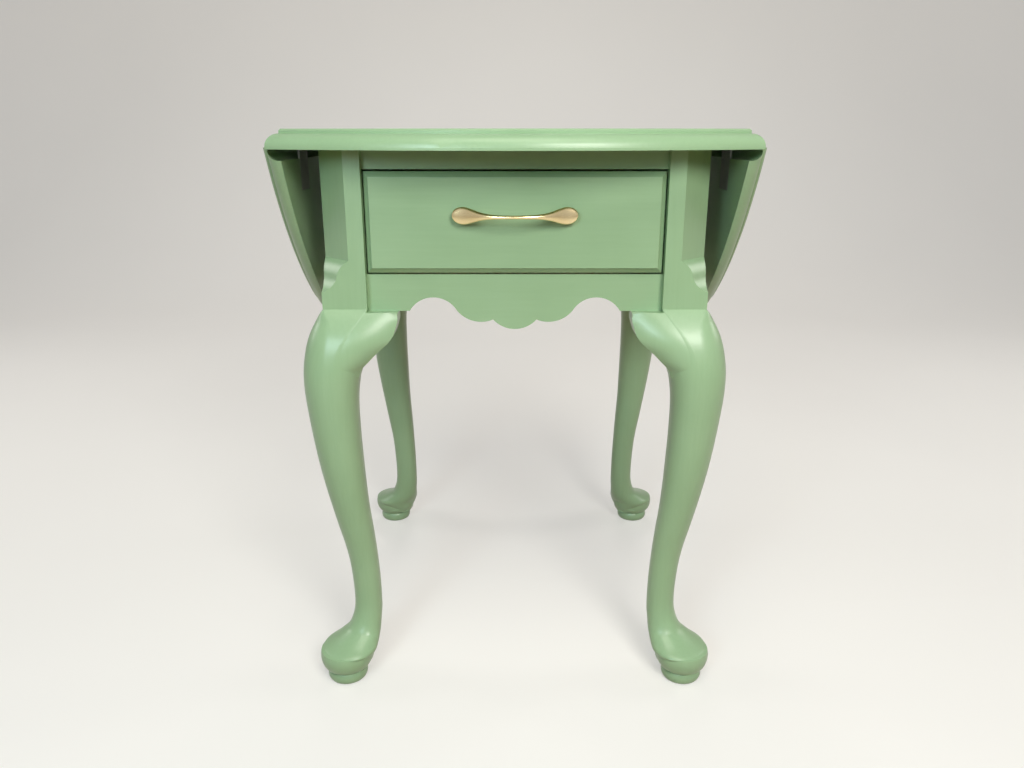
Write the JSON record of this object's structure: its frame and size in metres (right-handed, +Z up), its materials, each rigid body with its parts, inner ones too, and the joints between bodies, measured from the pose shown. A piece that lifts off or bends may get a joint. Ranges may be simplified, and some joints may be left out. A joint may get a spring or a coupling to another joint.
{
  "type": "drop-leaf side table",
  "caption": "Painted drop-leaf side table with an oval top, rule-jointed leaves hanging at the sides, cabriole legs on pad feet, a scalloped apron and a drawer with a bow pull.",
  "frame": {"origin": "floor level, under the middle of the table", "axes": "+Z up, drawer front towards -Y, +X to the right seen from the front"},
  "size_m": [0.452, 0.52, 0.575],
  "materials": {
    "painted_wood": "satin sage paint",
    "bare_wood": "bare",
    "pull_metal": "satin",
    "hinge_steel": "satin",
    "stay_steel": "satin",
    "glide_steel": "satin"
  },
  "bodies": {
    "frame": {"top_panel": "painted_wood", "top_screws": "hinge_steel", "leg_front_left": "painted_wood", "leg_front_right": "painted_wood", "leg_rear_left": "painted_wood", "leg_rear_right": "painted_wood", "knee_block_front_left": "painted_wood", "knee_block_front_right": "painted_wood", "knee_block_rear_left": "painted_wood", "knee_block_rear_right": "painted_wood", "knee_block_side_front_left": "painted_wood", "knee_block_side_front_right": "painted_wood", "knee_block_side_rear_left": "painted_wood", "knee_block_side_rear_right": "painted_wood", "foot_glides": "glide_steel", "front_top_rail": "painted_wood", "front_apron": "painted_wood", "back_apron": "painted_wood", "side_apron_left": "painted_wood", "side_apron_right": "painted_wood", "drawer_runner_left": "bare_wood", "drawer_runner_right": "bare_wood", "drawer_guide_left": "bare_wood", "drawer_guide_right": "bare_wood", "drawer_stop_left": "bare_wood", "drawer_stop_right": "bare_wood", "drawer_kicker": "bare_wood", "top_cleat_left": "bare_wood", "top_cleat_right": "bare_wood", "hinge_table_plates_left": "hinge_steel", "hinge_table_plates_right": "hinge_steel", "hinge_pins_left": "hinge_steel", "hinge_pins_right": "hinge_steel", "hinge_table_screws": "hinge_steel", "stay_apron_bracket_left": "stay_steel", "stay_apron_bracket_right": "stay_steel", "stay_apron_screws": "hinge_steel"},
    "drawer": {"drawer_front": "painted_wood", "drawer_side_left": "bare_wood", "drawer_side_right": "bare_wood", "drawer_back": "bare_wood", "drawer_bottom": "bare_wood", "drawer_pull": "pull_metal", "pull_screws": "hinge_steel"},
    "leaf_left": {"leaf_left": "painted_wood", "hinge_leaf_plates_left": "hinge_steel", "leaf_screws_left": "hinge_steel", "stay_leaf_bracket_left": "stay_steel"},
    "stay_arm_left": {"stay_arm_left": "stay_steel", "stay_elbow_rivet_left": "stay_steel"},
    "stay_link_left": {"stay_link_left": "stay_steel"},
    "leaf_right": {"leaf_right": "painted_wood", "hinge_leaf_plates_right": "hinge_steel", "leaf_screws_right": "hinge_steel", "stay_leaf_bracket_right": "stay_steel"},
    "stay_arm_right": {"stay_arm_right": "stay_steel", "stay_elbow_rivet_right": "stay_steel"},
    "stay_link_right": {"stay_link_right": "stay_steel"}
  },
  "joints": [
    {"name": "drawer_slide", "type": "slide", "parent": "frame", "child": "drawer", "axis": [0, -1, 0], "range_m": [0, 0.25]},
    {"name": "leaf_left_hinge", "type": "hinge", "parent": "frame", "child": "leaf_left", "pos_m": [-0.2105, 0, 0.5595], "axis": [0, 1, 0], "range_deg": [0, 90]},
    {"name": "stay_arm_left_pivot", "type": "hinge", "parent": "frame", "child": "stay_arm_left", "pos_m": [-0.1965, 0, 0.5475], "axis": [0, 1, 0], "range_deg": [0, 89]},
    {"name": "stay_link_left_pivot", "type": "hinge", "parent": "leaf_left", "child": "stay_link_left", "pos_m": [-0.1985, 0, 0.4545], "axis": [0, 1, 0], "range_deg": [-182, 0]},
    {"name": "leaf_right_hinge", "type": "hinge", "parent": "frame", "child": "leaf_right", "pos_m": [0.2105, 0, 0.5595], "axis": [0, -1, 0], "range_deg": [0, 90]},
    {"name": "stay_arm_right_pivot", "type": "hinge", "parent": "frame", "child": "stay_arm_right", "pos_m": [0.1965, 0, 0.5475], "axis": [0, -1, 0], "range_deg": [0, 89]},
    {"name": "stay_link_right_pivot", "type": "hinge", "parent": "leaf_right", "child": "stay_link_right", "pos_m": [0.1985, 0, 0.4545], "axis": [0, -1, 0], "range_deg": [-182, 0]}
  ],
  "couplings": [
    {"joint": "stay_arm_left_pivot", "follows": "leaf_left_hinge", "ratio": 0.98631},
    {"joint": "stay_link_left_pivot", "follows": "leaf_left_hinge", "ratio": -2.0137},
    {"joint": "stay_arm_right_pivot", "follows": "leaf_right_hinge", "ratio": 0.98631},
    {"joint": "stay_link_right_pivot", "follows": "leaf_right_hinge", "ratio": -2.0137}
  ]
}
